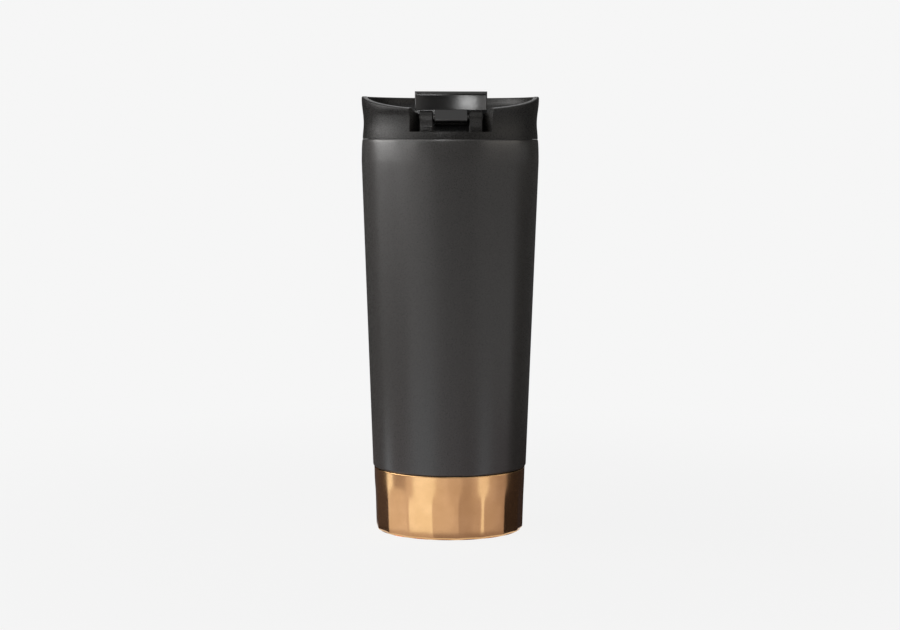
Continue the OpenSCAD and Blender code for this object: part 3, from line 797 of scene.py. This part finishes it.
def makeBase():
    top, low = cupHigh.z / mm, cupLow.z / mm
    wide = cupHigh.x / mm
    narrow = wide - base["taper"]
    edge = base["edgeRadius"]
    segments = base["facets"] * base["perFacet"]
    bore = wide - base["taper"] - base["boreTuck"]
    padRadius, padTop = base["padRadius"], base["padDepth"]
    lip, topEdge = base["padLip"], base["topEdge"]
    floorRadius, floorTop = padRadius - base["floorWide"], padTop + base["floorTall"]
    profile = [(floorRadius, padTop), (padRadius, padTop), (padRadius, low + lip),
               (padRadius + lip, low)]
    profile += arc(narrow - edge, low + edge, edge, -90, 0, 8)
    steps = base["wallSteps"]
    for i in range(1, steps):
        t = i / steps
        profile.append((narrow + base["taper"] * t, low + edge + (top - topEdge - low - edge) * t))
    profile += arc(wide - topEdge, top - topEdge, topEdge, 0, 90, 4)
    profile += [(bore, top), (bore, floorTop), (floorRadius, floorTop)]
    form, rings = lathe(profile, segments)
    for ring in (rings[0], rings[-1]):
        form.faces.new(ring)
    made = toObject("facetedBase", form)
    tree = facetTree()
    modifier = made.modifiers.new("facets", "NODES")
    modifier.node_group = tree
    setInputs(modifier, tree, {
        "facets": float(base["facets"]), "turn": math.radians(base["turn"]),
        "fullZ": base["fullZ"] * mm, "fadeZ": base["fadeZ"] * mm,
        "soften": math.radians(base["soften"]), "keepRadius": (bore + base["keepPast"]) * mm,
        "finish": finishes["copper_plate"]})
    bake(made)
    finishPiece(made, "tumbler", "copper_plate", "base_cup", sharp=40)


makeBase()
print("faceted base is made")

# lid collar
collar = {
    "waistZ": 190.5,
    "waistTuck": 0.95,
    "skirtSwell": 0.45,
    "lipDrop": 0.95,
    "lipOuter": 0.75,
    "lipFlat": 1.3,       # level part of the crown
    "lipInner": 0.7,
    "lipInside": 0.8,
    "deckInset": 9.9,
    "deckDrop": 10.5,     # from the rim down to the deck
    "bowl": ((0.99, 2.4), (0.93, 3.6), (0.82, 4.8), (0.67, 5.9), (0.48, 7.1), (0.29, 8.5), (0.13, 9.6),
             (0.05, 10.2)),
    "seam": 0.06,         # between the collar and the shell
    "rimSlope": 10.3,     # degrees, on the front half
    "slopeStart": -1.0,
    "slopeBlend": 2.0,
    "slopeFoot": 1.6,     # the slope begins this far over the deck
    "segments": 200,
    "notchHalf": 14.45,
    "notchBack": 4.3,     # behind the pin
    "notchPast": 9,       # how far its cutter reaches past the rim
    "notchMouth": 19.25,
    "notchFloor": 186.5,
    "postIn": 8.11,
    "postOut": 14.11,
    "postRadius": 3.2,
    "postFoot": 1.4,      # how far each post sweeps forward on the floor
    "postSweep": 4.5,
    "postSunk": 0.8,      # into the floor
    "flareBehind": 0.6,   # the notch widens from here, behind the pin, so that the lever swings clear
    "cornerRound": 1.8,   # the edges take a share of this
    "floorFront": -34,    # the front edge of the notch's floor lies before this
    "frontShare": 0.5,
    "floorShare": 0.08,
    "cheekShare": 1.0,    # at the outer corner
    "cheekThins": 0.74,   # by this much, from fadeStart over fadeLength
    "fadeStart": 0.6,
    "fadeLength": 3.5,
    "rimShare": 0.26,
    "otherShare": 0.16,
    "postRound": 0.6,
    "postSteps": 12,
    "registerRadius": 38.4,
    "ledgeZ": 184.45,
    "spoutLong": 16.0,
    "spoutWide": 9.0,
    "ventAcross": 5.0,
}


def slotOutline(length, width, cx, cy, steps=16):
    half = (length - width) / 2
    right = arc(cx + half, cy, width / 2, -90, 90, steps)
    left = arc(cx - half, cy, width / 2, 90, 270, steps)
    return right + left if length > width else right + left[1:-1]


def makeCollar():
    rim = collarHigh.z / mm
    low = mouthZ / mm + collar["seam"]
    wide = rimRadius / mm
    waist = wide - collar["waistTuck"]
    deckZ = rim - collar["deckDrop"]
    deck = wide - collar["deckInset"]
    register, ledge = collar["registerRadius"], collar["ledgeZ"]
    profile = [(register, ledge), (register, low)]
    for i in range(9):
        t = i / 8
        profile.append((waist + collar["skirtSwell"] * ease(1 - t), low + (collar["waistZ"] - low) * t))
    for i in range(1, 11):
        t = i / 10
        z = collar["waistZ"] + (rim - collar["lipDrop"] - collar["waistZ"]) * t
        profile.append((waist + collar["waistTuck"] * ease(t), z))
    lip = collar["lipOuter"] + collar["lipFlat"] + collar["lipInner"]
    crown = wide - collar["lipOuter"]
    quarters = ((0, collar["lipOuter"], collar["lipDrop"], crown),
                (90, collar["lipInner"], collar["lipInside"], crown - collar["lipFlat"]))
    for start, across, tall, middle in quarters:
        for i in range(1 if start == 0 else 0, 7):
            turn = math.radians(start + 15 * i)
            profile.append((middle + across * math.cos(turn), rim - tall + tall * math.sin(turn)))
    inside = wide - lip - deck      # how much room the bowl has
    bowl = [(deck + inside * across, rim - drop) for across, drop in collar["bowl"]] + [(deck, deckZ)]
    profile += bowl
    form, rings = lathe(profile, collar["segments"])
    form.faces.new(rings[-1])
    form.faces.new(rings[0])
    slope = math.tan(math.radians(collar["rimSlope"]))
    footZ = deckZ + collar["slopeFoot"]
    for vert in form.verts:
        ahead = max(0.0, collar["slopeStart"] - vert.co.y / mm)
        ahead = ahead * ahead / (ahead + collar["slopeBlend"])
        share = min(max((vert.co.z / mm - footZ) / (rim - deckZ - collar["slopeFoot"]), 0), 1)
        vert.co.z -= slope * ahead * share * mm
    made = toObject("lidCollar", form)
    half, mouth = collar["notchHalf"], collar["notchMouth"]
    backY = hingeY / mm + collar["notchBack"]
    mouthY = -math.sqrt(wide * wide - mouth * mouth)
    flareY = hingeY / mm + collar["flareBehind"]
    past = collar["notchPast"]
    outline = [(-half, backY), (half, backY), (half, flareY), (mouth, mouthY),
               (mouth + past, mouthY - past), (-mouth - past, mouthY - past), (-mouth, mouthY),
               (-half, flareY)]
    cutWith(made, prism("notch", outline, collar["notchFloor"], rim + 5))
    spoutY = (stopperLow.y + stopperHigh.y) / 2 / mm
    ventY = (ventLow.y + ventHigh.y) / 2 / mm
    spout = slotOutline(collar["spoutLong"], collar["spoutWide"], 0, spoutY)
    vent = slotOutline(collar["ventAcross"], collar["ventAcross"], 0, ventY)
    cutWith(made, prism("spout", spout, ledge - 1, rim))
    cutWith(made, prism("vent", vent, ledge - 1, rim))

    def weight(middle, along):
        if abs(middle.z - collar["notchFloor"]) < 0.05:
            return collar["frontShare"] if middle.y < collar["floorFront"] else collar["floorShare"]
        if middle.z > collar["notchFloor"] and abs(middle.x) > half - 0.5 and middle.y < flareY:
            # the widest rounding is at the outer corner, and it thins out along the cheek
            fade = ease((middle.y - mouthY - collar["fadeStart"]) / collar["fadeLength"])
            return collar["cheekShare"] - collar["cheekThins"] * fade
        if middle.y < backY + 0.5 and abs(middle.x) < mouth + 2 and middle.z > deckZ - 0.1:
            return collar["rimShare"]
        return collar["otherShare"]

    roundEdges(made, collar["cornerRound"], 5, weight)
    for side in (-1, 1):
        x0, x1 = sorted((side * collar["postIn"], side * collar["postOut"]))
        r = collar["postRadius"]
        y, z = hingeY / mm, hingeZ / mm
        foot, floorZ = collar["postFoot"], collar["notchFloor"]
        sunk = floorZ - collar["postSunk"]
        outline = [(y - r - foot, sunk)]
        for i in range(collar["postSteps"], 0, -1):
            t = i / collar["postSteps"]
            outline.append((y - r - foot * ease(t), z - collar["postSweep"] * t))
        outline += arc(y, z, r, 180, 0, 20) + [(y + r, sunk)]
        post = prism("post", outline, x0, x1, "X")
        roundEdges(post, collar["postRound"], 4,
                   lambda middle, along: 1.0 if abs(along.x) < 0.5 else 0.0, 60)
        cutWith(made, post, "UNION")
    finishPiece(made, "lid", "textured_black", "lid_collar", sharp=38, even=True)


makeCollar()
print("lid collar is made")

# lever
lever = {
    "wall": 2.0,
    "browTall": 1.8,
    "browRadius": 1.2,
    "scoop": 4.0,         # depth of the hollow under the brow
    "skirtUp": 3.6,       # its lower edge, above the pin
    "fall": 4.6,          # of its top, from the brow to the tip
    "corner": 1.0,
    "heelHalf": 7.3,
    "heelReach": 5.3,
    "hub": 3.9,
    "bore": 1.57,
    "panelBack": 3.6,
    "crestSteps": 14,
    "skirtPast": 3,       # how far its cutter reaches past the lever
    "edgeRound": 0.7,     # the edges take a share of this
    "skirtShare": 0.3,
    "browShares": (0.4, 0.8),        # in front and in the scoop
    "sideShare": 0.45,
    "lowShare": 0.4,
    "heelNose": ((0.45, -0.35), (0, -1.0), (0.25, -1.6)),
    "heelTop": 1.6,
    "heelOver": 0.15,     # how far it runs up behind the skirt
    "heelInto": 1.5,      # and into the panel
    "heelRound": 0.55,
}


def leverPlan(inset, front):
    half = leverHigh.x / mm - inset
    low = front + inset
    tip = leverHigh.y / mm
    middle = tip - leverHigh.x / mm
    r = lever["corner"]
    outline = arc(half - r, low + r, r, -90, 0, 5)
    outline += arc(0, middle, half, 0, 180, 48)
    outline += arc(-half + r, low + r, r, 180, 270, 5)
    return outline


def leverSide(inset, front):
    top = leverHigh.z / mm - inset
    start = front + inset
    tip = leverHigh.y / mm + 1
    low = insertLow.z / mm - (1 if inset else 0)
    r = max(lever["browRadius"] - inset, 0.3)
    steps, fall = lever["crestSteps"], lever["fall"]
    crest = []
    for i in range(steps, 0, -1):
        t = i / steps
        y = start + r + (tip - start - r) * i / steps
        crest.append((y, top - fall * ease(0.5 * t) - fall * 0.5 * t ** 1.5))
    return [(start, low), (tip, low)] + crest + arc(start + r, top - r, r, 90, 180, 10)


def makeLever():
    width = leverHigh.x / mm + 2
    low = insertLow.z / mm
    half, top = leverHigh.x / mm, leverHigh.z / mm
    panel = hingeY / mm + lever["panelBack"]
    front = panel - lever["scoop"]
    browZ = top - lever["browTall"]
    skirtZ = hingeZ / mm + lever["skirtUp"]
    radius = (half * half + lever["scoop"] ** 2) / (2 * lever["scoop"])
    under, over = low - 5, low + 30      # the cutters reach past the lever
    past = lever["skirtPast"]
    made = prism("flipLever", leverSide(0, front), -width, width, "X")
    cutWith(made, prism("plan", leverPlan(0, front), under, over), "INTERSECT")
    hollow = arc(0, panel - radius, radius, 0, 360, 300)[:-1]
    cutWith(made, prism("scoop", hollow, under, browZ))
    skirt = [(front - past, low - past), (panel, low - past), (panel, skirtZ), (front - past, skirtZ)]
    cutWith(made, prism("skirt", skirt, -width, width, "X"))

    browFront, browInside = lever["browShares"]

    def weight(middle, along):
        if middle.y < panel + 0.2:
            if abs(middle.z - skirtZ) < 0.05:
                return lever["skirtShare"]
            if abs(middle.z - browZ) < 0.05:
                return browFront if middle.y < front + 0.2 else browInside
            if middle.z < browZ and abs(along.z) > 0.9:
                return lever["sideShare"]
        return 1.0 if middle.z > low + 0.5 else lever["lowShare"]

    roundEdges(made, lever["edgeRound"], 4, weight, 28)
    inner = prism("inner", leverSide(lever["wall"], panel), -width, width, "X")
    cutWith(inner, prism("innerPlan", leverPlan(lever["wall"], panel), under, over), "INTERSECT")
    cutWith(made, inner)
    y, z = hingeY / mm, hingeZ / mm
    hub, reach = lever["hub"], lever["heelReach"]
    heelHigh, into = skirtZ + lever["heelOver"], panel + lever["heelInto"]
    outline = [(y - lever["heelTop"], heelHigh)]
    outline += [(y - reach + back, z + up) for back, up in lever["heelNose"]]
    outline += arc(y, z, hub, 215, 325, 14)
    outline += [(into, low + 0.2), (into, heelHigh)]
    heel = prism("heel", outline, -lever["heelHalf"], lever["heelHalf"], "X")
    roundEdges(heel, lever["heelRound"], 4,
               lambda middle, along: 1.0 if middle.y < panel - 0.4 else 0.0, 25)
    across = lever["bore"] * 2
    bore = prism("bore", slotOutline(across, across, y, z), -20, 20, "X")
    cutWith(heel, bore)
    cutWith(made, heel, "UNION")
    finishPiece(made, "lever", "satin_black", "flip_lever", sharp=32, even=True)


makeLever()
print("lever is made")
